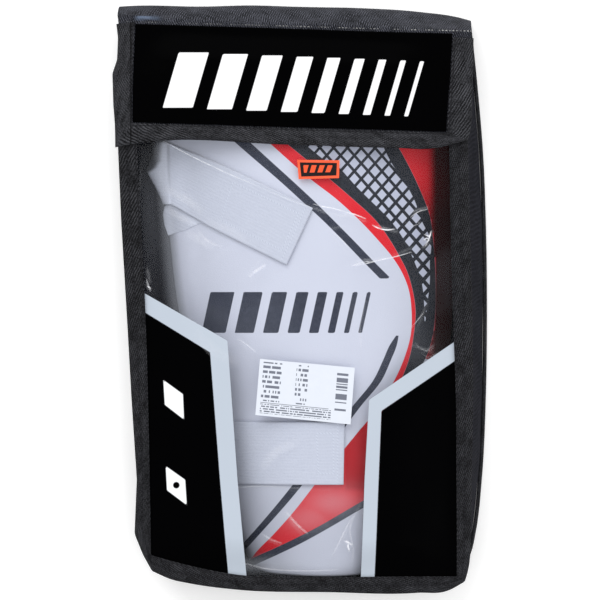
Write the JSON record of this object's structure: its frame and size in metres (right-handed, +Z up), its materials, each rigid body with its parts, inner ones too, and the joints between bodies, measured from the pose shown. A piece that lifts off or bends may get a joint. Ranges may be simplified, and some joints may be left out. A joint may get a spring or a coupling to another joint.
{
  "type": "cricket thigh guard in a clear-front pouch",
  "caption": "Arched foam thigh guard with a striped white facing and elastic straps, lying in a flat nylon pouch with a clear front and a folded flap.",
  "frame": {"origin": "centre of the pouch's outline, on the floor it lies on", "axes": "+X to the right of the clear front, +Y to the flap end, +Z up out of the clear front"},
  "size_m": [0.282, 0.4414, 0.0528],
  "materials": {
    "nylon": "twill weave, matt",
    "binding_tape": "grosgrain, matt",
    "film": "clear soft film",
    "print_black": "printed, satin",
    "print_white": "printed, satin",
    "sticker_white": "satin",
    "sticker_orange": "satin",
    "sticker_dark": "satin",
    "panel_black": "glossy",
    "foam": "closed-cell foam",
    "facing_white": "coated, fine grain",
    "paint_slate": "printed, satin",
    "paint_red": "printed, satin",
    "paint_black": "printed, satin",
    "elastic": "ribbed elastic"
  },
  "bodies": {
    "root": {"pouch_back": "nylon", "pouch_back_binding": "binding_tape", "pouch_gusset": "nylon", "pouch_front_frame": "binding_tape", "pouch_window": "film", "print_left_border": "print_white", "print_left": "print_black", "print_right_border": "print_white", "print_right": "print_black", "print_lozenge_upper": "print_white", "print_lozenge_lower": "print_white", "sticker_white": "sticker_white", "sticker_orange_edge": "sticker_orange", "sticker_dark_field": "sticker_dark", "flap_cloth": "nylon", "flap_binding": "binding_tape", "flap_panel": "panel_black", "guard_pad": "foam", "guard_facing": "facing_white", "stripe_slate_upper": "paint_slate", "stripe_slate_lower": "paint_slate", "stripe_red_curve": "paint_red", "stripe_black_field": "paint_black", "stripe_red_side": "paint_red", "stripe_red_wedge": "paint_red", "stripe_wedge_line": "paint_slate", "strap_upper": "elastic", "strap_lower": "elastic"}
  },
  "joints": []
}
